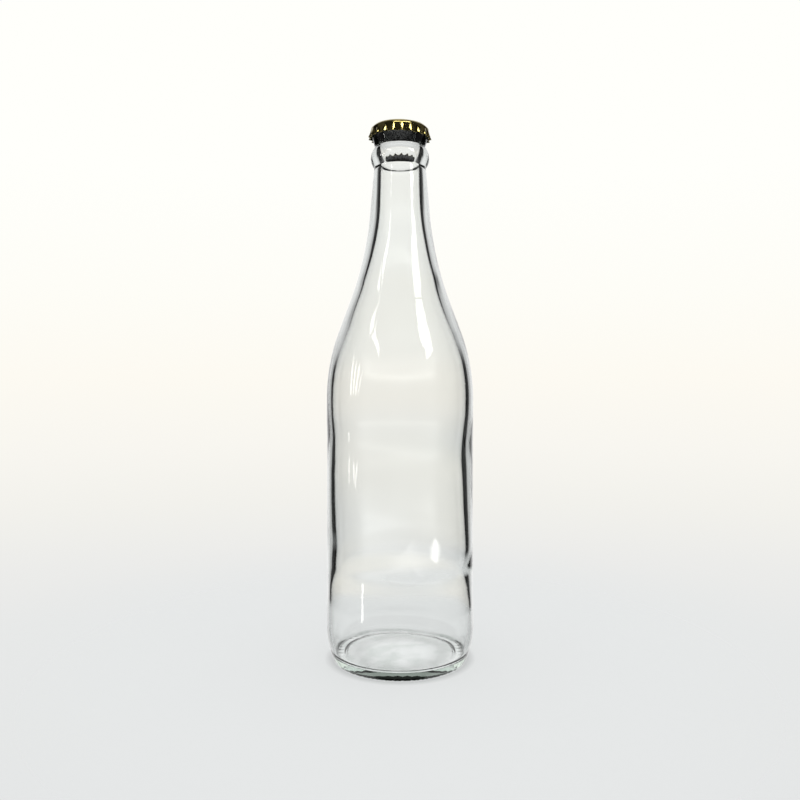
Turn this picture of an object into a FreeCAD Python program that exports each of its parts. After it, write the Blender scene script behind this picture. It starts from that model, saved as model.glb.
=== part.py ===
import FreeCAD, Part
import math
import os
import Sketcher

# A longneck beer bottle of clear glass, closed by a crown cap.
#
#   bottle      one piece of glass: heel, straight body, long shoulder, neck, transfer bead and
#               crown finish, hollow from its mouth to its floor
#   crown_cap   sheet metal crown with a fluted skirt that grips the ring of the finish
#   liner       sealing disc between the cap's panel and the lip of the glass
#
# Millimetres. The Z axis is the bottle's axis, and the bottle stands on the plane Z = 0.

SIZES = [
    # The body, up to the finish
    ("body_radius", 34.0, "outside radius of the body where bottles touch each other"),
    ("body_height", 136.05, "height at which the body's side would meet the shoulder's cone"),
    ("panel_recess", 0.2, "how far the label's place stands back between the two contact bands"),
    ("panel_bottom", 24.0, "height at which the lower contact band ends"),
    ("panel_drop", 26.0, "from the body's height down to where the upper contact band starts"),
    ("panel_fade", 8.0, "height over which each band runs into the label's place"),
    ("panel_round", 120.0, "radius along the side where that starts and ends"),
    ("shoulder_rise", 49.35, "from the body's height up to where the cone would meet the neck"),
    ("shoulder_round", 88.2, "radius between body and shoulder"),
    ("neck_foot_radius", 15.69, "radius at which the cone would meet the neck"),
    ("neck_sweep", 155.3, "radius between shoulder and neck"),
    ("neck_length", 42.2, "from the cone's top up to the finish"),
    ("neck_top_radius", 12.04, "outside radius of the neck below the finish"),
    # The foot
    ("heel_height", 15.4, "height over which the body curves in to its foot"),
    ("heel_inset", 3.4, "how far the foot stands in from the body's side"),
    ("heel_round", 0.9, "radius at the outer edge of the foot"),
    ("foot_width", 4.6, "width of the ring that the bottle stands on"),
    ("push_up", 4.2, "height of the hollow under the base"),
    # The crown finish
    ("finish_height", 18.6, "from the top of the neck to the lip"),
    ("bead_swell", 1.59, "how far the transfer bead stands out from the neck"),
    ("bead_rise", 4.25, "height of its widest place above the neck"),
    ("ring_radius", 13.3, "radius of the locking ring that the cap grips"),
    ("ring_grip", 1.7, "how far the ring stands out from the throat below it"),
    ("ring_drop", 3.9, "from the lip down to the ring's edge"),
    ("ring_round", 0.8, "radius of the ring's edge"),
    ("throat_rise", 10.3, "height of the throat above the neck"),
    ("lip_inset", 0.8, "how far the lip's side stands in from the ring"),
    ("lip_round", 1.9, "radius at the outside of the lip"),
    # The inside
    ("mouth_wall", 4.9, "from the ring's edge in to the mouth"),
    ("mouth_round", 1.0, "radius at the inside of the lip"),
    ("mouth_depth", 5.5, "depth of the narrow mouth"),
    ("bore_depth", 10.0, "depth at which the bore is at its full width"),
    ("throat_wall", 2.3, "wall between throat and bore"),
    ("neck_wall", 3.4, "wall at the top of the neck"),
    ("neck_foot_wall", 3.2, "wall where the neck meets the shoulder"),
    ("inner_neck_sweep", 130.0, "radius between shoulder and neck, inside"),
    ("shoulder_wall", 2.8, "wall where the shoulder meets the body"),
    ("inner_shoulder_round", 80.0, "radius between body and shoulder, inside"),
    ("body_wall", 3.5, "wall halfway up the body"),
    ("body_wall_height", 85.0, "height of that"),
    ("body_wall_round", 300.0, "radius along the inside of the body there"),
    ("heel_wall", 2.1, "wall above the heel"),
    ("floor_inset", 4.6, "from the body's side in to the floor's outer corner"),
    ("floor_height", 1.2, "height of that corner, before it is rounded"),
    ("floor_round", 7.0, "radius around it"),
    ("base_thickness", 4.6, "glass between the hollow under the base and the floor, at the axis"),
    # The crown cap and its liner
    ("cap_height", 5.75, "height of the crown cap"),
    ("cap_sheet", 0.24, "thickness of its sheet"),
    ("cap_clearance", 0.12, "gap between the ring and the flutes' valleys at the rim"),
    ("flute_depth", 1.19, "how far the flutes' ridges stand out from their valleys at the rim"),
    ("flute_count", 21, "flutes round the skirt"),
    ("panel_inset", 1.4, "how far the edge of the cap's flat top stands in from the ring"),
    ("panel_corner", 1.6, "radius around the top, outside"),
    ("liner_thickness", 0.55, "sealing disc between the lip and the cap's flat top"),
    ("liner_clearance", 0.15, "gap round the sealing disc"),
]


class Length:
    """A length that knows its value in mm and the formula that ties it to the sheet."""

    def __init__(self, value, formula):
        self.value = value
        self.formula = formula

    def __add__(self, other):
        return Length(self.value + other.value, f"{self.formula} + {other.formula}")

    def __sub__(self, other):
        return Length(self.value - other.value, f"{self.formula} - ({other.formula})")


ZERO = Length(0.0, "0 mm")


class Corner:
    """A corner of a half-section: its radius and height, and the radius that rounds it, if any.
    bow says that the edge which leaves the corner is an arc, and where that arc runs upright or
    level: "upright start", "upright end" or "level end"."""

    def __init__(self, radius, height, rounding=None, bow=None):
        self.radius = radius
        self.height = height
        self.rounding = rounding
        self.bow = bow

    def point(self):
        return FreeCAD.Vector(self.radius.value, self.height.value, 0)


def arc_between(bow, start, end):
    """The arc that a bow asks for, and whether its own direction runs from end to start."""
    rise = end.y - start.y
    run = end.x - start.x
    half = (rise * rise + run * run) / 2
    if bow == "level end":
        centre = FreeCAD.Vector(end.x, end.y - half / rise, 0)
    elif bow == "upright end":
        centre = FreeCAD.Vector(end.x - half / run, end.y, 0)
    else:
        centre = FreeCAD.Vector(start.x + half / run, start.y, 0)
    first = math.atan2(start.y - centre.y, start.x - centre.x)
    last = math.atan2(end.y - centre.y, end.x - centre.x)
    turn = (last - first + math.pi) % (2 * math.pi) - math.pi
    circle = Part.Circle(centre, FreeCAD.Vector(0, 0, 1), (start - centre).Length)
    if turn > 0:
        return Part.ArcOfCircle(circle, first, first + turn), False
    return Part.ArcOfCircle(circle, last, last - turn), True


class Outline:
    """A closed half-section in a sketch, drawn from its corners and held to the sheet."""

    CENTRE = 3

    def __init__(self, sketch, corners):
        self.sketch = sketch
        self.corners = corners
        self.edges = [self.draw_edge(k) for k in range(len(corners))]
        for k in range(len(corners)):
            self.hold_corner(k)
        for k in range(len(corners)):
            if corners[k].rounding:
                self.round_corner(k)

    def add(self, *words):
        return self.sketch.addConstraint(Sketcher.Constraint(*words))

    def tie(self, constraint, length):
        self.sketch.setExpression(f".Constraints[{constraint}]", length.formula)

    def draw_edge(self, k):
        """Draws the edge from corner k to the next. Returns its index, start point, end point."""
        corner = self.corners[k]
        start = corner.point()
        end = self.corners[(k + 1) % len(self.corners)].point()
        if corner.bow is None:
            return self.sketch.addGeometry(Part.LineSegment(start, end), False), 1, 2
        arc, backwards = arc_between(corner.bow, start, end)
        edge = self.sketch.addGeometry(arc, False)
        first, last = (2, 1) if backwards else (1, 2)
        way = "Vertical" if corner.bow == "level end" else "Horizontal"
        self.add(way, edge, first if corner.bow == "upright start" else last, edge, self.CENTRE)
        return edge, first, last

    def hold_corner(self, k):
        """Holds corner k at its radius and height, on both of the edges that meet there."""
        corner = self.corners[k]
        before, _, before_end = self.edges[k - 1]
        after, after_start, _ = self.edges[k]
        if corner.rounding:
            held, point = self.sketch.addGeometry(Part.Point(corner.point()), True), 1
            self.add("PointOnObject", held, 1, before)
            self.add("PointOnObject", held, 1, after)
        else:
            held, point = after, after_start
            self.add("Coincident", before, before_end, after, after_start)
        for word, length, axis in (("DistanceX", corner.radius, -2), ("DistanceY", corner.height, -1)):
            if length is ZERO:
                self.add("PointOnObject", held, point, axis)
            else:
                self.tie(self.add(word, -1, 1, held, point, length.value), length)

    def round_corner(self, k):
        """Rounds corner k with an arc that runs smoothly into both of its edges."""
        before = self.edges[k - 1][0]
        after = self.edges[k][0]
        size = self.corners[k].rounding
        bend = self.sketch.GeometryCount
        self.sketch.fillet(before, after, self.middle(before), self.middle(after), size.value, True, False)
        self.tie(self.add("Radius", bend, size.value), size)

    def middle(self, edge):
        curve = self.sketch.Geometry[edge]
        return curve.value((curve.FirstParameter + curve.LastParameter) / 2)


def make_sheet(doc):
    """The spreadsheet of driving sizes. Returns each as a Length under its own name."""
    sheet = doc.addObject("Spreadsheet::Sheet", "sizes")
    lengths = {}
    for row, (name, value, words) in enumerate(SIZES, start=1):
        sheet.set(f"A{row}", words)
        sheet.set(f"B{row}", str(value))
        sheet.setAlias(f"B{row}", name)
        lengths[name] = Length(value, f"sizes.{name} * 1 mm")
    doc.recompute()
    return lengths


def origin_part(body, role):
    return next(part for part in body.Origin.OriginFeatures if part.Role == role)


def section_sketch(body, name, corners):
    """A sketch in the body's own upright plane that holds a closed half-section."""
    sketch = body.newObject("Sketcher::SketchObject", name)
    sketch.AttachmentSupport = (origin_part(body, "XZ_Plane"), [""])
    sketch.MapMode = "FlatFace"
    Outline(sketch, corners)
    return sketch


def turned(body, kind, name, corners):
    """A full turn of a half-section about the bottle's axis, added to the body or cut from it."""
    sketch = section_sketch(body, name + "_section", corners)
    feature = body.newObject("PartDesign::" + kind, name)
    feature.Profile = sketch
    feature.ReferenceAxis = (sketch, ["V_Axis"])
    feature.Angle = 360.0
    sketch.Visibility = False
    body.Document.recompute()
    return feature


def new_body(doc, name):
    body = doc.addObject("PartDesign::Body", name)
    body.Label = name
    return body


def make_bottle(doc, size):
    """The glass: its outside turned as one solid, then the inside and the base hollowed."""
    body_radius = size["body_radius"]
    panel_radius = body_radius - size["panel_recess"]
    panel_top = size["body_height"] - size["panel_drop"]
    foot_radius = body_radius - size["heel_inset"]
    cone_top = size["body_height"] + size["shoulder_rise"]
    neck_top = cone_top + size["neck_length"]
    lip_top = neck_top + size["finish_height"]
    throat_radius = size["ring_radius"] - size["ring_grip"]
    mouth_radius = size["ring_radius"] - size["mouth_wall"]
    body = new_body(doc, "bottle")
    turned(body, "Revolution", "outside", [
        Corner(ZERO, ZERO),
        Corner(foot_radius, ZERO, size["heel_round"], bow="upright end"),
        Corner(body_radius, size["heel_height"]),
        Corner(body_radius, size["panel_bottom"], size["panel_round"]),
        Corner(panel_radius, size["panel_bottom"] + size["panel_fade"], size["panel_round"]),
        Corner(panel_radius, panel_top - size["panel_fade"], size["panel_round"]),
        Corner(body_radius, panel_top, size["panel_round"]),
        Corner(body_radius, size["body_height"], size["shoulder_round"]),
        Corner(size["neck_foot_radius"], cone_top, size["neck_sweep"]),
        Corner(size["neck_top_radius"], neck_top, bow="upright end"),
        Corner(size["neck_top_radius"] + size["bead_swell"], neck_top + size["bead_rise"],
               bow="upright start"),
        Corner(throat_radius, neck_top + size["throat_rise"]),
        Corner(size["ring_radius"], lip_top - size["ring_drop"], size["ring_round"]),
        Corner(size["ring_radius"] - size["lip_inset"], lip_top, size["lip_round"]),
        Corner(ZERO, lip_top),
    ])
    turned(body, "Groove", "inside", [
        Corner(ZERO, lip_top),
        Corner(mouth_radius + size["mouth_round"], lip_top, bow="upright end"),
        Corner(mouth_radius, lip_top - size["mouth_round"]),
        Corner(mouth_radius, lip_top - size["mouth_depth"]),
        Corner(throat_radius - size["throat_wall"], lip_top - size["bore_depth"]),
        Corner(size["neck_top_radius"] - size["neck_wall"], neck_top),
        Corner(size["neck_foot_radius"] - size["neck_foot_wall"], cone_top, size["inner_neck_sweep"]),
        Corner(body_radius - size["shoulder_wall"], size["body_height"], size["inner_shoulder_round"]),
        Corner(body_radius - size["body_wall"], size["body_wall_height"], size["body_wall_round"]),
        Corner(body_radius - size["heel_wall"], size["heel_height"]),
        Corner(body_radius - size["floor_inset"], size["floor_height"], size["floor_round"],
               bow="level end"),
        Corner(ZERO, size["push_up"] + size["base_thickness"]),
    ])
    turned(body, "Groove", "base_hollow", [
        Corner(ZERO, ZERO),
        Corner(foot_radius - size["foot_width"], ZERO, bow="level end"),
        Corner(ZERO, size["push_up"]),
    ])
    return body, lip_top


def make_liner(doc, size, lip_top):
    """The sealing disc, flat on the lip and under the cap's flat top."""
    body = new_body(doc, "liner")
    top = lip_top + size["liner_thickness"]
    edge = size["ring_radius"] - size["panel_inset"] - size["liner_clearance"]
    turned(body, "Revolution", "disc", [
        Corner(ZERO, lip_top),
        Corner(edge, lip_top),
        Corner(edge, top),
        Corner(ZERO, top),
    ])
    return body, top


def fluted_line(height, ridge, valley, count):
    """A closed wavy line round the axis, two arcs to a flute."""
    middle = (ridge + valley) / 2
    quarter = math.pi / count / 2
    edges = []
    for k in range(count):
        centre = 4 * quarter * k
        marks = [
            FreeCAD.Vector(radius * math.cos(angle), radius * math.sin(angle), height)
            for radius, angle in (
                (middle, centre - quarter),
                (ridge, centre),
                (middle, centre + quarter),
                (valley, centre + 2 * quarter),
                (middle, centre + 3 * quarter),
            )
        ]
        edges.append(Part.Arc(*marks[0:3]).toShape())
        edges.append(Part.Arc(*marks[2:5]).toShape())
    return Part.Wire(edges)


def turned_panel(radius, corner, bottom):
    """The crown's top: a disc with a quarter round all round it."""
    tilt = corner / math.sqrt(2)
    section = Part.Face(Part.Wire([
        Part.LineSegment(point(0, bottom), point(radius + corner, bottom)).toShape(),
        Part.Arc(point(radius + corner, bottom), point(radius + tilt, bottom + tilt),
                 point(radius, bottom + corner)).toShape(),
        Part.LineSegment(point(radius, bottom + corner), point(0, bottom + corner)).toShape(),
        Part.LineSegment(point(0, bottom + corner), point(0, bottom)).toShape(),
    ]))
    return section.revolve(point(0, 0), FreeCAD.Vector(0, 0, 1), 360)


def point(radius, height):
    """A point of the upright plane y = 0."""
    return FreeCAD.Vector(radius, 0, height)


def crown_form(size, inset, count):
    """The solid form of the crown from its rim, at zero, up to its top, inset all round."""
    ring = size["ring_radius"].value
    valley = ring + size["cap_clearance"].value + size["cap_sheet"].value - inset
    ridge = valley + size["flute_depth"].value
    corner = size["panel_corner"].value - inset
    panel = ring - size["panel_inset"].value
    skirt_top = size["cap_height"].value - inset - corner
    skirt = Part.makeLoft([
        fluted_line(0, ridge, valley, count),
        fluted_line(skirt_top, panel + corner, panel + corner, count),
    ], True, True)
    return skirt.fuse(turned_panel(panel, corner, skirt_top))


def make_crown_cap(doc, size, panel_underside):
    """The crown, whose flat top lies on the liner. Its flutes are ruled from rim to shoulder."""
    sheet = size["cap_sheet"].value
    count = round(size["flute_count"].value)
    cap = doc.addObject("Part::Feature", "crown_cap")
    cap.Label = "crown_cap"
    cap.Shape = crown_form(size, 0, count).cut(crown_form(size, sheet, count))
    rim_height = panel_underside.value + sheet - size["cap_height"].value
    cap.Placement = FreeCAD.Placement(FreeCAD.Vector(0, 0, rim_height), FreeCAD.Rotation())
    return cap


def check(doc, pieces):
    """Stops if an object of the document failed, or a piece isn't one sound solid."""
    for part in doc.Objects:
        if "Invalid" in part.State or "Error" in part.State:
            raise RuntimeError(f"{part.Label} did not compute: {part.State}")
    for piece in pieces:
        shape = piece.Shape
        if shape.isNull() or not shape.isValid() or len(shape.Solids) != 1:
            raise RuntimeError(f"{piece.Label} is not one sound solid")


def main():
    doc = FreeCAD.newDocument("longneck_bottle")
    size = make_sheet(doc)
    bottle, lip_top = make_bottle(doc, size)
    liner, panel_underside = make_liner(doc, size, lip_top)
    crown_cap = make_crown_cap(doc, size, panel_underside)
    pieces = [bottle, liner, crown_cap]
    doc.recompute()
    check(doc, pieces)
    os.makedirs("parts", exist_ok=True)
    for piece in pieces:
        piece.Shape.exportStep(f"parts/{piece.Label}.step")
        print(f"{piece.Label}: {piece.Shape.Volume / 1000:.2f} cm3, box {piece.Shape.BoundBox}")


main()
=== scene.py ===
"""A longneck beer bottle of clear flint glass, empty, closed with a gold crown cap.

Three pieces: the bottle, the pressed tinplate cap and its sealing liner.
Lengths in this file are millimetres, and MM turns them to metres for Blender.
The front is towards -Y and the bottle stands on the floor, its axis on Z.
"""

import math

import bpy
from mathutils import Matrix, Vector


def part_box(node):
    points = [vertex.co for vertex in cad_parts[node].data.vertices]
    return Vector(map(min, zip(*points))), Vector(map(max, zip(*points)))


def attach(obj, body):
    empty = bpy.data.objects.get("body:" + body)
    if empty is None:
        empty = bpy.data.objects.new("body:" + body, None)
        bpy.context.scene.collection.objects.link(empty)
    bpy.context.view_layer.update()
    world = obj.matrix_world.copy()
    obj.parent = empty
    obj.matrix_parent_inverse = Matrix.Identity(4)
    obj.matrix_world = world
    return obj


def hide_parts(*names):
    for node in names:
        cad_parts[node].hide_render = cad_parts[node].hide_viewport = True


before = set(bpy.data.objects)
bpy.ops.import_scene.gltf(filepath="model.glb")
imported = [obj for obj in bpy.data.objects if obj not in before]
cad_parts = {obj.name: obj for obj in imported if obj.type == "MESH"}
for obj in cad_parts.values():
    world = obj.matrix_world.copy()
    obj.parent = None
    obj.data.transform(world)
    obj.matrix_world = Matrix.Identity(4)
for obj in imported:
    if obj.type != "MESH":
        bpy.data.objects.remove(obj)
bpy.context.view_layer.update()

MM = 0.001

# Driving dimensions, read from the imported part.
_, GLASS_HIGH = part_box("bottle")
CAP_LOW, CAP_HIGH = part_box("crown_cap")
LINER_LOW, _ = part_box("liner")
BODY_RADIUS = GLASS_HIGH.x / MM
GLASS_HEIGHT = GLASS_HIGH.z / MM
CAP_RADIUS = CAP_HIGH.x / MM
CAP_RIM = CAP_LOW.z / MM
CAP_TOP = CAP_HIGH.z / MM

# How finely the pieces are drawn.
AROUND = 192  # faces round the glass
FLUTES = 21  # teeth of a standard crown cap
AROUND_CAP = FLUTES * 16
SPACING = 0.25  # between the points of a line while its edges are eased
LONGEST_FACE = 1.6
GLASS_BEND = 5.0  # degrees between two faces
CAP_BEND = 6.0


# ---------------------------------------------------------------- profiles


def smooth(low, high, value):
    """0 below low, 1 above high, with an even ramp between."""
    share = min(max((value - low) / (high - low), 0.0), 1.0)
    return share * share * (3.0 - 2.0 * share)


def rounded(corners, steps=10):
    """A line through (radius, height, rounding) corners, each eased to its rounding radius."""
    line = []
    for before, corner, after in zip([None] + corners, corners, corners[1:] + [None]):
        here = Vector(corner[:2])
        if before is None or after is None or corner[2] == 0:
            line.append(here)
            continue
        back = (Vector(before[:2]) - here).normalized()
        ahead = (Vector(after[:2]) - here).normalized()
        half = back.angle(ahead) / 2.0
        reach = corner[2] / math.tan(half)
        centre = here + (back + ahead).normalized() * corner[2] / math.sin(half)
        start = here + back * reach - centre
        end = here + ahead * reach - centre
        turn = start.angle_signed(end)
        for step in range(steps + 1):
            share = step / steps * turn
            line.append(centre + Matrix.Rotation(-share, 2) @ start)
    return line


def bow(start, end, upright_at_end, steps=16):
    """An arc between two points that stands upright at one of them."""
    start, end = Vector(start), Vector(end)
    fixed, loose = (end, start) if upright_at_end else (start, end)
    across, along = loose.x - fixed.x, loose.y - fixed.y
    radius = (across * across + along * along) / (2.0 * across)
    sweep = math.atan2(along / radius, 1.0 - across / radius)
    line = []
    for step in range(steps + 1):
        share = step / steps
        turn = sweep * (1.0 - share if upright_at_end else share)
        line.append(Vector((fixed.x + radius * (1.0 - math.cos(turn)), fixed.y + radius * math.sin(turn))))
    return line


def even(line):
    """The same line with its points close together and evenly spaced."""
    points = [line[0]]
    for start, end in zip(line, line[1:]):
        count = max(1, round((end - start).length / SPACING))
        points += [start.lerp(end, step / count) for step in range(1, count + 1)]
    return points


def eased(points, reach):
    """The line after molten glass has pulled its edges soft over about reach mm."""
    spread = max(1, round(reach / SPACING))
    for _ in range(2):
        padded = [points[0]] * spread + points + [points[-1]] * spread
        points = points[:1] + [
            sum(padded[i:i + 2 * spread + 1], Vector((0, 0))) / (2 * spread + 1)
            for i in range(1, len(points) - 1)
        ] + points[-1:]
    return points


def thinned(points, bend_degrees):
    """Only the points that the shape needs: one for each bend of bend_degrees or run of LONGEST_FACE."""
    kept, run, bend = [points[0]], 0.0, 0.0
    for before, here, after in zip(points, points[1:], points[2:]):
        run += (here - before).length
        if (here - before).length > 0 and (after - here).length > 0:
            bend += abs(math.degrees((here - before).angle(after - here)))
        if run >= LONGEST_FACE or bend >= bend_degrees:
            kept.append(here)
            run, bend = 0.0, 0.0
    return kept + [points[-1]]


def between(stations, height):
    """A value at a height, on an even curve through (height, value) stations."""
    if height <= stations[0][0]:
        return stations[0][1]
    if height >= stations[-1][0]:
        return stations[-1][1]
    index = max(i for i in range(len(stations) - 1) if stations[i][0] <= height)
    (low, first), (high, last) = stations[index], stations[index + 1]
    slopes = []
    for i in (index, index + 1):
        before, after = stations[max(i - 1, 0)], stations[min(i + 1, len(stations) - 1)]
        slopes.append((after[1] - before[1]) / (after[0] - before[0]))
    share, span = (height - low) / (high - low), high - low
    return (
        (2 * share**3 - 3 * share**2 + 1) * first
        + (share**3 - 2 * share**2 + share) * span * slopes[0]
        + (3 * share**2 - 2 * share**3) * last
        + (share**3 - share**2) * span * slopes[1]
    )


def turned(radius, height, angle):
    """The point at a radius, a height and an angle round the axis."""
    return (radius * math.cos(angle), radius * math.sin(angle), height)


def angles(count):
    """The angles of count points round the axis."""
    return [2 * math.pi * step / count for step in range(count)]


def round_ring(radius, height, count):
    """A plain circle of points."""
    return [turned(radius, height, angle) for angle in angles(count)]


def mesh_of_rings(name, rings, start_tip, end_tip):
    """A mesh skinned over rings of points. An end with a tip is closed to that point."""
    count = len(rings[0])
    points = [tuple(p) for ring in rings for p in ring]
    faces = []
    for lower in range(len(rings) - 1):
        upper = lower + 1
        for i in range(count):
            j = (i + 1) % count
            faces.append((lower * count + i, lower * count + j, upper * count + j, upper * count + i))
    for tip, first, flip in ((start_tip, 0, True), (end_tip, (len(rings) - 1) * count, False)):
        if tip is None:
            continue
        points.append(tip)
        last = len(points) - 1
        for i in range(count):
            pair = (first + i, first + (i + 1) % count)
            faces.append((pair[1], pair[0], last) if flip else (*pair, last))
    mesh = bpy.data.meshes.new(name)
    mesh.from_pydata([tuple(c * MM for c in p) for p in points], [], faces)
    mesh.validate()
    mesh.shade_smooth()
    piece = bpy.data.objects.new(name, mesh)
    bpy.context.scene.collection.objects.link(piece)
    return piece


# ---------------------------------------------------------------- the glass

HEEL_HEIGHT = 15.4
PANEL_DEPTH = 0.2  # the label panel is set back, so that bottles rub on glass and not on paper
PANEL_RADIUS = BODY_RADIUS - PANEL_DEPTH
SHOULDER_START = 136.05
SHOULDER_ROUND = 88.2
NECK_FOOT = (15.69, 185.4)
NECK_SWEEP = 155.3
NECK_TOP = (12.04, 227.6)
BEAD_WIDEST = (13.63, 231.85)
THROAT = (11.6, 237.0)
FOOT_RADIUS = 30.6
RECESS_RADIUS = 26.0
PUSH_UP = 2.2  # height of the hollow under the base
RIM_STEP = (24.2, 0.9)  # the hollow begins with a short steep rim
PANEL_FOOT = (24.0, 32.0)  # the heights between which the wall steps back to the panel
PANEL_HEAD = (102.0, 110.0)
PANEL_EASE = 120.0  # radius of those steps' rounding
UNDERSIDE = (PUSH_UP + 0.1, PUSH_UP + 0.7)  # heights over which the painted shade on the underside of the base ends
LIP_SIDE = (13.3, 242.3)
LIP_EDGE = 12.5
LIP_CREST = 9.4
MOUTH_RADIUS = 8.4

OUTSIDE = (
    bow((FOOT_RADIUS, 0.0), (BODY_RADIUS, HEEL_HEIGHT), True)
    + rounded([
        (BODY_RADIUS, HEEL_HEIGHT, 0),
        (BODY_RADIUS, PANEL_FOOT[0], PANEL_EASE),
        (PANEL_RADIUS, PANEL_FOOT[1], PANEL_EASE),
        (PANEL_RADIUS, PANEL_HEAD[0], PANEL_EASE),
        (BODY_RADIUS, PANEL_HEAD[1], PANEL_EASE),
        (BODY_RADIUS, SHOULDER_START, SHOULDER_ROUND),
        (*NECK_FOOT, NECK_SWEEP),
        (*NECK_TOP, 0),
    ], steps=40)
    + bow(NECK_TOP, BEAD_WIDEST, True)
    + bow(BEAD_WIDEST, THROAT, False)
    + rounded([
        (*THROAT, 0),
        (*LIP_SIDE, 0.8),
        (LIP_EDGE, GLASS_HEIGHT, 1.9),
        (LIP_CREST, GLASS_HEIGHT, 0),
    ])
)

# Wall thickness by height. A blown wall is thin where the glass stretched most, and thick where it
# was chilled.
WALL = (
    (5.0, 2.2), (15.0, 2.1), (23.0, 2.15), (27.0, 2.3), (31.0, 2.6), (34.5, 2.9), (38.0, 3.4), (42.0, 3.8),
    (46.0, 3.7), (58.0, 3.8), (68.0, 3.9), (84.0, 4.0), (91.0, 4.15), (98.0, 4.0), (105.0, 3.6), (112.0, 3.2),
    (118.0, 3.1), (124.0, 3.15), (130.0, 3.15), (136.0, 3.2), (142.0, 3.4), (148.0, 3.7), (156.0, 3.9),
    (170.0, 3.9), (178.0, 3.7), (191.0, 3.95), (206.0, 4.2), (216.0, 3.9), (227.6, 3.2),
)
# How far the bore leans to the left, by height.
LEAN = (
    (20.0, 0.0), (36.0, 0.25), (42.0, 0.0), (51.0, -0.42), (62.0, -0.1), (75.0, 0.33), (92.0, 0.62),
    (104.0, 0.33), (132.0, 0.28), (150.0, 0.15), (165.0, 0.3), (178.0, 0.05), (228.0, 0.0),
)
MOUTH = rounded([
    (LIP_CREST, GLASS_HEIGHT, 0),
    (MOUTH_RADIUS, GLASS_HEIGHT, 0.95),
    (MOUTH_RADIUS, 240.7, 6.0),
    (8.9, 236.2, 14.0),
    (NECK_TOP[0] - WALL[-1][1], NECK_TOP[1], 0),
])
FLOOR_CORNER = (30.0, 3.4)
FLOOR_ROUND = 3.0
FLOOR_CENTRE = 5.2  # the inside floor is domed by the push-up
FLOOR_START = 24.0  # radius where the corner's rounding has ended
NEAR_AXIS = 0.8  # nearer the axis than this the floor closes to a point

# The bore strays from round only between the chilled heel and the pressed finish.
STRAY_START = (14.0, 30.0)
STRAY_END = (205.0, 228.0)
SWELL = 0.12  # two round the bore
RIPPLE = 0.05  # three round
FINE_RIPPLE = 0.03  # four round

# Small cast marks on the bearing ring keep the hot base from checking.
MARK_DEPTH = 0.2
MARK_UNEVENNESS = 0.1
MARK_START = (26.6, 27.4)  # radii over which they deepen
MARK_HEIGHT = (1.6, 2.8)  # heights over which they run out
HEEL_EDGE = (29.8, 30.8)  # from here on a mark goes inwards too
HEEL_SHARE = 0.6


def dome(edge, crown, steps=26):
    """A shallow round dome as a line from its (radius, height) edge to its crown on the axis."""
    rise = crown - edge[1]
    ball = (edge[0] ** 2 + rise**2) / (2.0 * rise)
    spread = [edge[0] * (1.0 - step / steps) for step in range(steps + 1)]
    return [Vector((r, crown - ball + math.sqrt(ball**2 - r * r))) for r in spread]


def outside_radius(height):
    """The outer radius of the body and neck at a height."""
    for low, high in zip(OUTSIDE, OUTSIDE[1:]):
        if low.y <= height <= high.y and high.y > low.y:
            return low.lerp(high, (height - low.y) / (high.y - low.y)).x
    raise ValueError(f"no glass at {height} mm")


def inside_line():
    """The bore from the mouth down to the middle of the floor."""
    heights = [NECK_TOP[1] - step for step in range(1, int(NECK_TOP[1] - 6))]
    walls = [Vector((outside_radius(z) - between(WALL, z), z)) for z in heights]
    # The corner is eased where the domed floor runs into the wall.
    crown = [p for p in dome(FLOOR_CORNER, FLOOR_CENTRE) if p.x < FLOOR_START]
    floor = rounded([(*walls[-1], 0), (*FLOOR_CORNER, FLOOR_ROUND), (*crown[0], 0)], steps=24)
    return MOUTH + walls + floor[1:] + crown[1:]


def wander(height, angle):
    """How far a blown bore strays from round: a lean, slow swells, and a little unevenness."""
    near = smooth(*STRAY_START, height) * (1.0 - smooth(*STRAY_END, height))
    lean = -between(LEAN, height) * math.cos(angle)
    swell = SWELL * math.sin(2 * angle) * math.sin(height / 17.0 + 0.8)
    ripple = RIPPLE * math.sin(3 * angle) * math.sin(height / 23.0)
    ripple += FINE_RIPPLE * math.sin(4 * angle + height / 9.0)
    return near * (lean + swell + ripple)


def knurl(point, step):
    """How deep a cast mark is at a point of the outside and a step round it. They are a little uneven."""
    on_ring = smooth(*MARK_START, point.x) * (1.0 - smooth(*MARK_HEIGHT, point.y))
    deep = MARK_DEPTH + MARK_UNEVENNESS * math.sin(1.7 * step) if step % 2 else 0.0
    return on_ring * deep


def glass_bottle():
    """The bottle as one closed skin: up the outside, over the lip, down the bore to the floor."""
    hollow = dome(RIM_STEP, PUSH_UP)[-2::-1] + [Vector((RECESS_RADIUS, 0.0))]
    # The bore never touches the mould, so its edges are softer than those outside.
    outer = thinned(eased(even(hollow + OUTSIDE), 0.25), GLASS_BEND)
    bore = thinned(eased(even(inside_line()), 0.6), GLASS_BEND)
    rings = []
    for point in outer:
        ring = []
        for step, angle in enumerate(angles(AROUND)):
            dent = knurl(point, step)
            inward = HEEL_SHARE * dent * smooth(*HEEL_EDGE, point.x)
            ring.append(turned(point.x - inward, point.y + dent - inward, angle))
        rings.append(ring)
    for point in bore[1:-1]:
        if point.x > NEAR_AXIS:
            ring = [turned(point.x + wander(point.y, angle), point.y, angle) for angle in angles(AROUND)]
            rings.append(ring)
    return mesh_of_rings("glass_bottle", rings, (0, 0, PUSH_UP), (0, 0, FLOOR_CENTRE))


# ---------------------------------------------------------------- the cap

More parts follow.
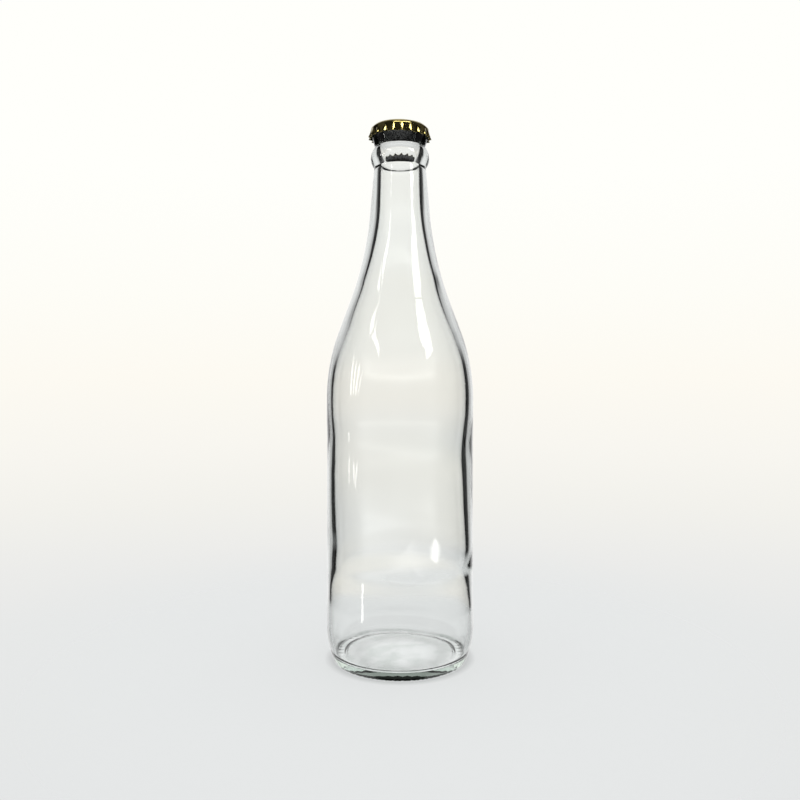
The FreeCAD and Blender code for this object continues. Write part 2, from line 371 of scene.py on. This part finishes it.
SHEET = 0.24  # tinplate thickness
FLUTE_DEPTH = 1.19  # at the rim
CAP_SHOULDER = (13.5, CAP_TOP - 1.6)  # where the teeth begin
CAP_FLAT = 11.9  # radius of the flat top
VALLEY_RADIUS = CAP_RADIUS - FLUTE_DEPTH
RIM_ROLL = 0.1  # height over which the cut edge is rounded
SKIRT_STEPS = 14
CAP_TILT = math.radians(1.2)  # seated a little low on the right


def tooth(angle):
    """1 on the fold of a tooth, 0 in the middle of a flute. The folds are narrower than the flutes."""
    return ((1.0 + math.cos(FLUTES * angle)) / 2.0) ** 2.2


def cap_ring(inset, height):
    """One ring of the cap's skirt at a height, its teeth growing towards the rim."""
    fall = max(0.0, (CAP_SHOULDER[1] - height) / (CAP_SHOULDER[1] - CAP_RIM))
    # The valleys fall straight and the folds flare out, most of all near the rim.
    flare = 0.4 * fall + 0.6 * fall * fall
    low = CAP_SHOULDER[0] + (VALLEY_RADIUS - CAP_SHOULDER[0]) * fall
    high = CAP_SHOULDER[0] + (CAP_RADIUS - CAP_SHOULDER[0]) * flare
    return [
        turned(low + (high - low) * tooth(angle) - inset, height, angle)
        for angle in angles(AROUND_CAP)
    ]


def crown_cap():
    """The pressed cap: domed edge, 21 flutes and a rounded rim, with the sheet's inner side."""
    corner_line = rounded([(0.5, CAP_TOP, 0), (CAP_FLAT, CAP_TOP, 0), (*CAP_SHOULDER, 0)])
    top = thinned(eased(even(corner_line), 0.5), CAP_BEND)[:-1]
    drop = CAP_RIM + RIM_ROLL - CAP_SHOULDER[1]
    heights = [CAP_SHOULDER[1] + drop * step / SKIRT_STEPS for step in range(SKIRT_STEPS + 1)]

    rings = [round_ring(point.x, point.y, AROUND_CAP) for point in top]
    rings += [cap_ring(0.0, height) for height in heights]
    rings.append(cap_ring(SHEET * 0.25, CAP_RIM))
    outer_rings = len(rings)
    rings.append(cap_ring(SHEET * 0.75, CAP_RIM))
    rings += [cap_ring(SHEET, height) for height in reversed(heights)]
    # Round the domed edge the inner side lies nearer the axis as well as lower.
    rings += [round_ring(max(p.x - SHEET * 0.7, 0.3), p.y - SHEET, AROUND_CAP) for p in reversed(top)]

    piece = mesh_of_rings("gold_crown_cap", rings, (0, 0, CAP_TOP), (0, 0, CAP_TOP - SHEET))
    piece.data.materials.append(gold_lacquered_tinplate())
    piece.data.materials.append(varnished_tinplate())
    side_faces = (len(rings) - 1) * AROUND_CAP
    for face in piece.data.polygons:
        inner_top = face.index >= side_faces + AROUND_CAP
        inner_side = outer_rings * AROUND_CAP <= face.index < side_faces
        face.material_index = int(inner_top or inner_side)
    return piece


def tilt(piece):
    """Seats the piece a little low on the right, as the crimper left it."""
    seat = Vector((0, 0, LINER_LOW.z))
    turn = Matrix.Rotation(CAP_TILT, 4, "Y")
    piece.data.transform(Matrix.Translation(seat) @ turn @ Matrix.Translation(-seat))


# ---------------------------------------------------------------- materials

MIX_A, MIX_B, MIXED = 6, 7, 2  # the colour sockets of a Mix node
ONE_BOUNCE = 0.5  # a Light Path depth above this has at least one bounce


def linear(code):
    """A colour written as sRGB hex, turned to the linear values that Blender wants."""
    parts = [int(code[i:i + 2], 16) / 255.0 for i in (0, 2, 4)]
    return [p / 12.92 if p <= 0.04045 else ((p + 0.055) / 1.055) ** 2.4 for p in parts] + [1.0]


def node(tree, kind, inputs=(), stops=(), **settings):
    """Adds a node with its settings. An input is linked from a socket or set to a value."""
    made = tree.nodes.new(kind)
    for name, value in settings.items():
        setattr(made, name, value)
    for key, value in dict(inputs).items():
        if isinstance(value, bpy.types.NodeSocket):
            tree.links.new(value, made.inputs[key])
        else:
            made.inputs[key].default_value = value
    for number, (place, colour) in enumerate(stops):
        ramp = made.color_ramp
        stop = ramp.elements[number] if number < 2 else ramp.elements.new(1.0)
        stop.position, stop.color = place, colour
    return made


def grey(level):
    """A level of neutral light, 1 being white."""
    return (level, level, level, 1.0)


def noise_scale(size):
    """The scale of a noise whose waves or blotches are about size mm across."""
    return 1.0 / (size * MM)


def new_material(name):
    """A material with an empty node tree."""
    made = bpy.data.materials.new(name)
    made.use_nodes = True
    made.node_tree.nodes.clear()
    return made


def flint_glass():
    """Soda-lime flint glass, blown in a mould: clear, with a breath of grey-green in its depth.

    Its skin waves a little where it cooled unevenly. The underside is darkened in blotches: painted
    mottled shade of the hollow under the base.
    """
    made = new_material("flint_glass")
    tree = made.node_tree
    place = node(tree, "ShaderNodeTexCoord")
    waves = node(
        tree, "ShaderNodeTexNoise",
        {"Vector": place.outputs["Object"], "Scale": noise_scale(11.1), "Detail": 1.0},
    )
    uneven = node(
        tree, "ShaderNodeBump",
        {"Height": waves.outputs["Fac"], "Strength": 0.25, "Distance": 0.05 * MM},
    )
    blotch = node(
        tree, "ShaderNodeTexNoise",
        {"Vector": place.outputs["Object"], "Scale": noise_scale(9.09), "Detail": 2.0},
    )
    # Painted shade: the glass under the base is darkened in blotches.
    painted_shade_blotches = node(
        tree, "ShaderNodeValToRGB", {"Fac": blotch.outputs["Fac"]},
        stops=((0.35, linear("D2D8D4")), (0.6, linear("FFFFFF"))),
    )
    axes = node(tree, "ShaderNodeSeparateXYZ", {"Vector": place.outputs["Object"]})
    above = node(
        tree, "ShaderNodeMapRange",
        {"Value": axes.outputs["Z"], "From Min": UNDERSIDE[0] * MM, "From Max": UNDERSIDE[1] * MM},
    )
    clear_and_painted_shade = node(
        tree, "ShaderNodeMix",
        {"Factor": above.outputs[0], MIX_A: painted_shade_blotches.outputs["Color"], MIX_B: linear("FFFFFF")},
        data_type="RGBA",
    )
    surface = node(
        tree, "ShaderNodeBsdfPrincipled",
        {
            "Base Color": clear_and_painted_shade.outputs[MIXED], "Roughness": 0.0, "IOR": 1.52, "Transmission Weight": 1.0,
            "Normal": uneven.outputs["Normal"],
        },
    )
    depth = node(tree, "ShaderNodeVolumeAbsorption", {"Color": linear("B4E0C4"), "Density": 8.0})
    node(tree, "ShaderNodeOutputMaterial", {"Surface": surface.outputs[0], "Volume": depth.outputs[0]})
    return made


def gold_lacquered_tinplate():
    """Tinplate, roller-coated with gold lacquer and pressed: warm metal, mottled by the lacquer's depth.

    The mottle is drawn coarser than the real one, so that it shows.
    """
    made = new_material("gold_lacquered_tinplate")
    tree = made.node_tree
    place = node(tree, "ShaderNodeTexCoord")
    mottle = node(
        tree, "ShaderNodeTexNoise",
        {"Vector": place.outputs["Object"], "Scale": noise_scale(2.22), "Detail": 2.0, "Roughness": 0.5},
    )
    colour = node(
        tree, "ShaderNodeValToRGB", {"Fac": mottle.outputs["Fac"]},
        stops=((0.3, linear("93854C")), (0.7, linear("ADA066"))),
    )
    sheen = node(
        tree, "ShaderNodeMapRange",
        {"Value": mottle.outputs["Fac"], "To Min": 0.11, "To Max": 0.16},
    )
    surface = node(
        tree, "ShaderNodeBsdfPrincipled",
        {"Base Color": colour.outputs["Color"], "Metallic": 1.0, "Roughness": sheen.outputs["Result"]},
    )
    node(tree, "ShaderNodeOutputMaterial", {"Surface": surface.outputs[0]})
    return made


def varnished_tinplate():
    """The inside of the cap: tinplate rolled to a fine grain and varnished, dull, painted a dark brown-grey
    for the cap's shade.

    The grain is drawn coarser than the real one, so that it shows.
    """
    made = new_material("varnished_tinplate")
    tree = made.node_tree
    place = node(tree, "ShaderNodeTexCoord")
    grain = node(
        tree, "ShaderNodeTexNoise",
        {"Vector": place.outputs["Object"], "Scale": noise_scale(0.714), "Detail": 2.0},
    )
    # Painted shade: the dark brown-grey stands for the shade inside the cap.
    colour = node(
        tree, "ShaderNodeValToRGB", {"Fac": grain.outputs["Fac"]},
        stops=((0.3, linear("26241F")), (0.7, linear("34322C"))),
    )
    surface = node(
        tree, "ShaderNodeBsdfPrincipled",
        {"Base Color": colour.outputs["Color"], "Metallic": 1.0, "Roughness": 0.42},
    )
    node(tree, "ShaderNodeOutputMaterial", {"Surface": surface.outputs[0]})
    return made


def cap_liner():
    """Moulded polyethylene compound with a soft sheen and a faint speckle, painted near black for the shade
    inside the cap.

    The speckle is drawn coarser than the real one, so that it shows.
    """
    made = new_material("polyethylene_liner")
    tree = made.node_tree
    place = node(tree, "ShaderNodeTexCoord")
    speckle = node(
        tree, "ShaderNodeTexNoise",
        {"Vector": place.outputs["Object"], "Scale": noise_scale(0.909), "Detail": 2.0},
    )
    # Painted shade: near black for the shade inside the cap.
    colour = node(
        tree, "ShaderNodeValToRGB", {"Fac": speckle.outputs["Fac"]},
        stops=((0.35, linear("131414")), (0.65, linear("181A19"))),
    )
    surface = node(
        tree, "ShaderNodeBsdfPrincipled",
        {"Base Color": colour.outputs["Color"], "Roughness": 0.45, "IOR": 1.51},
    )
    node(tree, "ShaderNodeOutputMaterial", {"Surface": surface.outputs[0]})
    return made


# ---------------------------------------------------------------- the pieces

glass = glass_bottle()
glass.data.materials.append(flint_glass())
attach(glass, "root")
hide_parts("bottle")

cap = crown_cap()
tilt(cap)
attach(cap, "root")
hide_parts("crown_cap")

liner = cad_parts["liner"]
liner.data.materials.clear()
liner.data.materials.append(cap_liner())


# ---------------------------------------------------------------- the studio

EYE = Vector((0.0, -363.2, 130.7))
LIGHT_DISTANCE = 1500.0
RING_LIGHT_RISE = 70.0
RING_LIGHT_EDGES = (58.0, 105.0)  # inner and outer radius
RING_LIGHT_TURNS = range(246, 317, 10)  # degrees round from the right, 270 being the front
FLOOR_RINGS = (300.0, 150.0, 60.0, 20.0)  # radii of the floor's rings of points
FLOOR_FADE = (90.0, 0.9 * FLOOR_RINGS[0])  # radii between which it turns into the backdrop
FLOOR_DROP = 0.02  # it lies just under the feet of the bottle
FLOOR_GLOW = 0.78  # share of the floor's look that is glow, carrying the painted light and shadow under the base, the rest being lit paper
TURNS_BACK = (2.0, 3.6)  # how often light turns back inside the glass before it fades
UNLIT = linear("303030")

# The backdrop's colour by its rise in degrees.
BACKDROP = (
    (-30, "E0E2E4"), (-22.6, "E4E5E4"), (-16, "E8E9E8"), (-12.6, "ECECEA"), (-9, "F2F1EC"), (-5, "F8F6F0"),
    (0, "FDFAF2"), (6, "FEFDF7"), (14, "FFFFFB"),
)
# The room's light by degrees round from straight behind the bottle, for a low view and a high one.
LOW_ROOM = ((0, 0.95), (20, 0.92), (27, 0.76), (33, 0.56), (37, 0.01), (68, 0.01), (76, 0.14))
HIGH_ROOM = ((0, 0.97), (24, 0.92), (32, 0.78), (38, 0.62), (44, 0.44), (48, 0.01), (70, 0.01), (78, 0.12))
HIGH_VIEW = (6, 20)  # the rise over which the low room turns into the high one
FLOOR_VIEW = (-20, -38)  # the fall over which the room turns into the floor
DIM_ROOM = 0.05
BEHIND_EYE = (95, 120)  # degrees round over which the room turns into what is behind the eye
# The light of pale screens that hang high and low behind the eye, by their rise. They light only the
# inside of the glass. Its outer skin mirrors a dim room there.
SCREENS = (
    (-20, 0.3), (-16, 1.2), (-13, 1.9), (-10, 0.9), (-6, 0.42), (4, 0.28), (10, 0.15), (16, 0.5), (22, 1.5),
    (28, 0.9), (36, 0.1),
)
# The floor's painted light by radius: a painted pool of light, as the glass would gather it, under the
# middle of the base and a painted ring under the rim of the hollow, up to white at most. Where the
# bottle stands on the paper, a painted shadow.
PAINTED_FLOOR_LIGHT = (
    (0.0, 1.25), (13.0, 1.22), (18.5, 0.92), (22.8, 0.7), (24.0, 1.25), (28.8, 1.25), (29.6, 0.3),
    (30.6, 0.3), (31.6, 0.95), (34.0, 1.0),
)


def trapped(tree, path):
    """1 for light that has turned back more than twice inside the thick glass. It ends in an unlit corner."""
    return node(
        tree, "ShaderNodeMapRange",
        {"Value": path.outputs["Glossy Depth"], "From Min": TURNS_BACK[0], "From Max": TURNS_BACK[1]},
    ).outputs[0]


def studio_world():
    """A pale backdrop seen straight or through the glass, and a dim room with pale walls in its gloss."""
    world = bpy.data.worlds.new("studio")
    world.use_nodes = True
    world.cycles.sampling_method = "NONE"
    tree = world.node_tree
    tree.nodes.clear()
    path = node(tree, "ShaderNodeLightPath")
    way = node(tree, "ShaderNodeTexCoord")
    axes = node(tree, "ShaderNodeSeparateXYZ", {"Vector": way.outputs["Generated"]})
    rise = node(tree, "ShaderNodeMath", {0: axes.outputs["Z"]}, operation="ARCSINE")
    climb = node(
        tree, "ShaderNodeMapRange",
        {"Value": rise.outputs[0], "From Min": math.radians(-90), "From Max": math.radians(90)},
    )
    sideways = node(tree, "ShaderNodeMath", {0: axes.outputs["X"]}, operation="ABSOLUTE")
    turn = node(tree, "ShaderNodeMath", {0: sideways.outputs[0], 1: axes.outputs["Y"]}, operation="ARCTAN2")
    swing = node(tree, "ShaderNodeMath", {0: turn.outputs[0], 1: math.pi}, operation="DIVIDE")

    def by_rise(table):
        return [((degrees + 90.0) / 180.0, colour) for degrees, colour in table]

    def by_swing(table):
        return [(degrees / 180, grey(level)) for degrees, level in table]

    backdrop = node(
        tree, "ShaderNodeValToRGB", {"Fac": climb.outputs[0]},
        stops=by_rise((degrees, linear(code)) for degrees, code in BACKDROP),
    )
    low_room = node(tree, "ShaderNodeValToRGB", {"Fac": swing.outputs[0]}, stops=by_swing(LOW_ROOM))
    high_room = node(tree, "ShaderNodeValToRGB", {"Fac": swing.outputs[0]}, stops=by_swing(HIGH_ROOM))
    upward = node(
        tree, "ShaderNodeMapRange",
        {
            "Value": rise.outputs[0],
            "From Min": math.radians(HIGH_VIEW[0]), "From Max": math.radians(HIGH_VIEW[1]),
        },
        interpolation_type="SMOOTHSTEP",
    )
    room = node(
        tree, "ShaderNodeMix",
        {"Factor": upward.outputs[0], MIX_A: low_room.outputs["Color"], MIX_B: high_room.outputs["Color"]},
        data_type="RGBA",
    )
    downward = node(
        tree, "ShaderNodeMapRange",
        {
            "Value": rise.outputs[0],
            "From Min": math.radians(FLOOR_VIEW[0]), "From Max": math.radians(FLOOR_VIEW[1]),
        },
        interpolation_type="SMOOTHSTEP",
    )
    sides = node(
        tree, "ShaderNodeMix",
        {"Factor": downward.outputs[0], MIX_A: room.outputs[MIXED], MIX_B: linear("FAFBFA")},
        data_type="RGBA",
    )
    screens = node(
        tree, "ShaderNodeValToRGB", {"Fac": climb.outputs[0]},
        stops=by_rise((degrees, grey(level)) for degrees, level in SCREENS),
    )
    front = node(
        tree, "ShaderNodeMapRange",
        {"Value": swing.outputs[0], "From Min": BEHIND_EYE[0] / 180, "From Max": BEHIND_EYE[1] / 180},
        interpolation_type="SMOOTHSTEP",
    )
    outer = node(
        tree, "ShaderNodeMath", {0: path.outputs["Transmission Depth"], 1: ONE_BOUNCE},
        operation="LESS_THAN",
    )
    behind_eye = node(
        tree, "ShaderNodeMix",
        {"Factor": outer.outputs[0], MIX_A: screens.outputs["Color"], MIX_B: grey(DIM_ROOM)},
        data_type="RGBA",
    )
    room_and_floor = node(
        tree, "ShaderNodeMix",
        {"Factor": front.outputs[0], MIX_A: sides.outputs[MIXED], MIX_B: behind_eye.outputs[MIXED]},
        data_type="RGBA",
    )
    corners = node(
        tree, "ShaderNodeMix",
        {"Factor": trapped(tree, path), MIX_A: room_and_floor.outputs[MIXED], MIX_B: UNLIT},
        data_type="RGBA",
    )
    straight = node(
        tree, "ShaderNodeMath", {0: path.outputs["Glossy Depth"], 1: ONE_BOUNCE},
        operation="LESS_THAN",
    )
    seen = node(
        tree, "ShaderNodeMix",
        {"Factor": straight.outputs[0], MIX_A: corners.outputs[MIXED], MIX_B: backdrop.outputs["Color"]},
        data_type="RGBA",
    )
    soft = node(
        tree, "ShaderNodeMath", {0: path.outputs["Diffuse Depth"], 1: ONE_BOUNCE},
        operation="GREATER_THAN",
    )
    light = node(
        tree, "ShaderNodeMix",
        {"Factor": soft.outputs[0], MIX_A: seen.outputs[MIXED], MIX_B: grey(1.0)},
        data_type="RGBA",
    )
    glow = node(tree, "ShaderNodeBackground", {"Color": light.outputs[MIXED], "Strength": 1.0})
    node(tree, "ShaderNodeOutputWorld", {"Surface": glow.outputs[0]})
    bpy.context.scene.world = world


def pale_floor():
    """A round of pale paper under the bottle that fades into the backdrop and keeps the soft shadow, with
    painted light and painted shadow under the base.
    """
    rings = [round_ring(radius, -FLOOR_DROP, 64) for radius in FLOOR_RINGS]
    floor = mesh_of_rings("floor", rings, None, (0, 0, -FLOOR_DROP))
    made = new_material("pale_paper")
    tree = made.node_tree
    place = node(tree, "ShaderNodeTexCoord")
    flat = node(tree, "ShaderNodeVectorMath", {0: place.outputs["Object"]}, operation="LENGTH")
    fade = node(
        tree, "ShaderNodeMapRange",
        {"Value": flat.outputs["Value"], "From Min": FLOOR_FADE[0] * MM, "From Max": FLOOR_FADE[1] * MM},
        interpolation_type="SMOOTHSTEP",
    )
    path = node(tree, "ShaderNodeLightPath")
    # Painted shade: the paper turns dark grey where it is seen after light has turned back inside the glass
    # more than twice.
    colour = node(
        tree, "ShaderNodeMix",
        {"Factor": trapped(tree, path), MIX_A: linear("E7E9E9"), MIX_B: UNLIT},
        data_type="RGBA",
    )
    # Painted light and painted shadow on the paper by radius, under the base.
    painted_floor_light = node(
        tree, "ShaderNodeValToRGB", {"Fac": flat.outputs["Value"]},
        stops=[(radius * MM, grey(level)) for radius, level in PAINTED_FLOOR_LIGHT],
    )
    paper = node(tree, "ShaderNodeBsdfDiffuse", {"Color": colour.outputs[MIXED]})
    glow = node(
        tree, "ShaderNodeEmission",
        {"Color": colour.outputs[MIXED], "Strength": painted_floor_light.outputs["Color"]},
    )
    lit = node(tree, "ShaderNodeMixShader", {0: FLOOR_GLOW, 1: paper.outputs[0], 2: glow.outputs[0]})
    clear = node(tree, "ShaderNodeBsdfTransparent")
    both = node(tree, "ShaderNodeMixShader", {0: fade.outputs[0], 1: lit.outputs[0], 2: clear.outputs[0]})
    node(tree, "ShaderNodeOutputMaterial", {"Surface": both.outputs[0]})
    floor.data.materials.append(made)
    floor.visible_glossy = False


# The windows light the glass alone. The cap has its own ring of light.
GLASS_ALONE = bpy.data.collections.new("glass_alone")
GLASS_ALONE.objects.link(glass)
CAP_ALONE = bpy.data.collections.new("cap_alone")
CAP_ALONE.objects.link(cap)


def mirrored(height, turn):
    """A spot on the glass, at a height and an angle from the front, and the way the eye sees it mirror."""
    slope = outside_radius(height + 1.0) - outside_radius(height - 1.0)
    angle = math.radians(turn - 90)
    out = Vector((math.cos(angle), math.sin(angle), 0))
    spot = out * outside_radius(height) + Vector((0, 0, height))
    return spot, (spot - EYE).reflect((out - Vector((0, 0, slope / 2.0))).normalized()).normalized()


def hang(mesh):
    """Hangs a lamp in the studio. The camera doesn't see it, and it casts no shadow."""
    lamp = bpy.data.objects.new(mesh.name, mesh)
    bpy.context.scene.collection.objects.link(lamp)
    lamp.visible_camera = False
    lamp.visible_diffuse = False
    lamp.visible_shadow = False
    return lamp


def strip_light(name, glow, line):
    """A strip of light whose reflection runs down the glass through places of (height, left, right).

    The heights are in mm, and left and right in degrees round from the front.
    """
    places = []
    for height, left, right in line:
        for turn in (left, (left + right) / 2.0, right):
            spot, way = mirrored(height, turn)
            places.append(tuple((spot + way * LIGHT_DISTANCE) * MM))
    faces = []
    for first in range(0, 3 * len(line) - 3, 3):
        faces += [(i, i + 1, i + 4, i + 3) for i in (first, first + 1)]
    mesh = bpy.data.meshes.new(name)
    mesh.from_pydata(places, [], faces)
    middle = mesh.attributes.new("middle", "FLOAT", "POINT")
    for number, place in enumerate(middle.data):
        place.value = float(number % 3 == 1 and 2 < number < 3 * len(line) - 3)
    mesh.materials.append(glow)
    hang(mesh).light_linking.receiver_collection = GLASS_ALONE


def lamp_glass(name, strength, soft=False):
    """A lamp's white diffuser: bright where an outer surface mirrors it, clear otherwise.

    A soft one fades outwards.
    """
    made = new_material(name)
    tree = made.node_tree
    made.cycles.emission_sampling = "NONE"
    path = node(tree, "ShaderNodeLightPath")
    mirror = node(
        tree, "ShaderNodeMath", {0: path.outputs["Glossy Depth"], 1: ONE_BOUNCE},
        operation="GREATER_THAN",
    )
    first = node(
        tree, "ShaderNodeMath", {0: path.outputs["Transmission Depth"], 1: ONE_BOUNCE},
        operation="LESS_THAN",
    )
    shown = node(tree, "ShaderNodeMath", {0: mirror.outputs[0], 1: first.outputs[0]}, operation="MULTIPLY")
    if soft:
        middle = node(tree, "ShaderNodeAttribute", attribute_name="middle")
        fade = node(
            tree, "ShaderNodeMapRange", {"Value": middle.outputs["Fac"]},
            interpolation_type="SMOOTHSTEP",
        )
        shown = node(tree, "ShaderNodeMath", {0: shown.outputs[0], 1: fade.outputs[0]}, operation="MULTIPLY")
    clear = node(tree, "ShaderNodeBsdfTransparent")
    glow = node(tree, "ShaderNodeEmission", {"Color": linear("FFFEFA"), "Strength": strength})
    both = node(tree, "ShaderNodeMixShader", {0: shown.outputs[0], 1: clear.outputs[0], 2: glow.outputs[0]})
    node(tree, "ShaderNodeOutputMaterial", {"Surface": both.outputs[0]})
    return made


# Where the gaps between the blinds mirror: top and foot in mm, then left, right and the lean in degrees.
BLIND_GAPS = (
    (140.0, 122.5, -39.6, -38.0, 0.0), (138.0, 123.0, -36.6, -35.4, -0.4), (136.5, 122.5, -34.0, -32.4, -1.2),
    (133.0, 122.5, -31.2, -30.2, -1.6), (97.0, 84.0, -41.4, -40.4, 0.0), (94.0, 84.5, -36.8, -35.6, 0.4),
    (94.0, 82.5, -34.5, -33.3, -0.9), (34.5, 24.5, -29.4, -27.6, -0.3),
)


def strip_lights():
    """Two tall windows, one each side of the front, the gaps in their blinds, and a soft lamp low down."""
    bright = lamp_glass("bright_diffuser", 7.0)
    faint = lamp_glass("faint_diffuser", 2.5)
    soft = lamp_glass("soft_diffuser", 9.0, soft=True)
    strip_light("right_window", bright, (
        (199.0, 21.7, 23.2), (196.0, 20.7, 24.2), (190.2, 18.4, 24.4), (181.4, 17.0, 24.2),
        (172.0, 16.3, 23.8), (166.0, 16.6, 23.8), (159.5, 15.8, 24.6), (150.6, 17.0, 26.0),
        (145.0, 18.6, 26.8), (141.5, 20.4, 27.2), (138.0, 20.6, 21.6),
    ))
    strip_light("right_window_top", faint, (
        (224.0, 20.5, 23.8), (210.0, 20.8, 24.4), (199.0, 21.2, 24.0),
    ))
    strip_light("left_window_top", bright, (
        (222.0, -17.7, -17.2), (210.0, -17.7, -17.2), (200.0, -18.4, -17.0), (194.0, -20.4, -17.0),
        (188.0, -22.6, -18.0), (183.0, -25.0, -20.4), (179.0, -25.0, -21.4), (175.5, -23.6, -22.0),
        (170.0, -22.4, -22.0),
    ))
    strip_light("left_window", bright, (
        (166.0, -22.5, -22.2), (161.0, -23.8, -23.4), (158.6, -26.2, -24.4), (156.0, -27.8, -24.4),
        (152.9, -27.8, -24.2), (150.0, -27.0, -25.2), (147.6, -26.6, -26.2),
    ))
    for number, (top, foot, left, right, lean) in enumerate(BLIND_GAPS):
        middle = (top + foot) / 2.0
        upper = middle + 0.25 * (top - foot)
        strip_light(f"blind_gap_{number}", bright, (
            (top, left + 0.6 - lean, left + 0.7 - lean), (upper, left - lean / 2, right - lean / 2),
            (middle, left, right), (foot, left + lean + 0.2, right + lean - 0.2),
        ))
    strip_light("far_lamp", soft, (
        (62.0, 26.1, 28.3), (59.5, 22.8, 30.6), (57.5, 20.6, 32.4), (55.8, 20.2, 32.8),
        (54.0, 20.6, 32.4), (52.0, 22.8, 30.6), (49.5, 26.0, 28.4),
    ))
    strip_light("far_lamp_glow", lamp_glass("dim_diffuser", 1.7, soft=True), (
        (63.0, -4.0, 24.0), (58.0, -12.0, 24.0), (53.0, -12.0, 24.0), (47.0, -4.0, 24.0),
    ))


def ring_light():
    """Part of a ring of light above the front of the cap, which only the folds of its teeth mirror."""
    height = CAP_TOP + RING_LIGHT_RISE
    places = []
    for degrees in RING_LIGHT_TURNS:
        for radius in RING_LIGHT_EDGES:
            places.append(Vector(turned(radius, height, math.radians(degrees))) * MM)
    faces = [(2 * i, 2 * i + 1, 2 * i + 3, 2 * i + 2) for i in range(len(RING_LIGHT_TURNS) - 1)]
    mesh = bpy.data.meshes.new("ring_light")
    mesh.from_pydata(places, [], faces)
    mesh.materials.append(lamp_glass("ring_diffuser", 10.0))
    hang(mesh).light_linking.receiver_collection = CAP_ALONE


def camera():
    """A level view from the front at hand height, 35 mm lens."""
    lens = bpy.data.cameras.new("camera")
    lens.sensor_width = 36.0
    lens.lens = 35.0
    lens.shift_y = -0.03
    lens.clip_start = 0.01
    view = bpy.data.objects.new("camera", lens)
    view.location = EYE * MM
    view.rotation_euler = (math.radians(90), 0, 0)
    bpy.context.scene.collection.objects.link(view)
    bpy.context.scene.camera = view


studio_world()
pale_floor()
strip_lights()
ring_light()
camera()

scene = bpy.context.scene
scene.view_settings.view_transform = "Standard"
scene.cycles.max_bounces = 24
scene.cycles.transmission_bounces = 20
scene.cycles.glossy_bounces = 16
